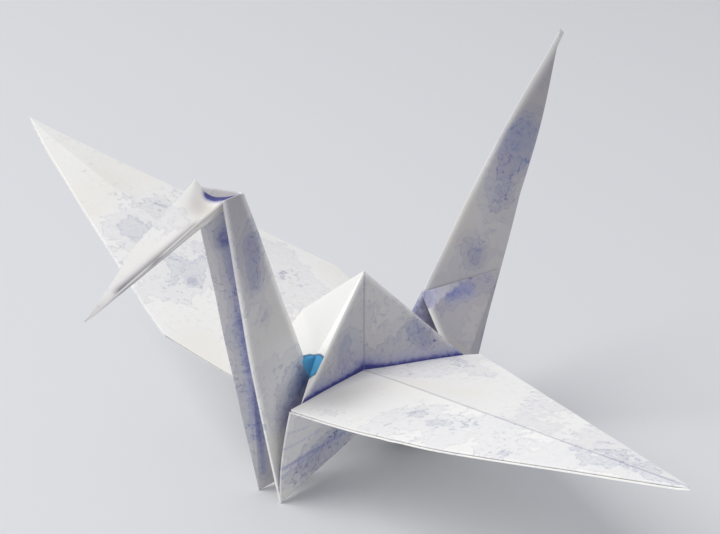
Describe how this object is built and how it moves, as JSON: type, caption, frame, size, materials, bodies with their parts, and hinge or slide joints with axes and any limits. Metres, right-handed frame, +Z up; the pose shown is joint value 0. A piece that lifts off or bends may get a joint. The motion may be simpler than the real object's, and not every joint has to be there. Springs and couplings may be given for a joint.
{
  "type": "origami crane",
  "caption": "Paper crane folded from one square sheet, with spread wings, a channel neck with a bent-down beak, and a pointed tail, standing on its body's lower corners.",
  "frame": {"origin": "on the table, at the middle of the bottom of the crane's bounding box, nearly under the crown of its body", "axes": "+Z up, -X towards the beak, +X towards the tail, -Y towards the wing that is near in the picture, +Y towards the other wing"},
  "size_m": [0.0958, 0.1278, 0.0619],
  "materials": {
    "folded_paper": "matt uncoated paper, stained with pale blue and violet washes"
  },
  "bodies": {
    "root": {"paper_crane": "folded_paper"}
  },
  "joints": []
}
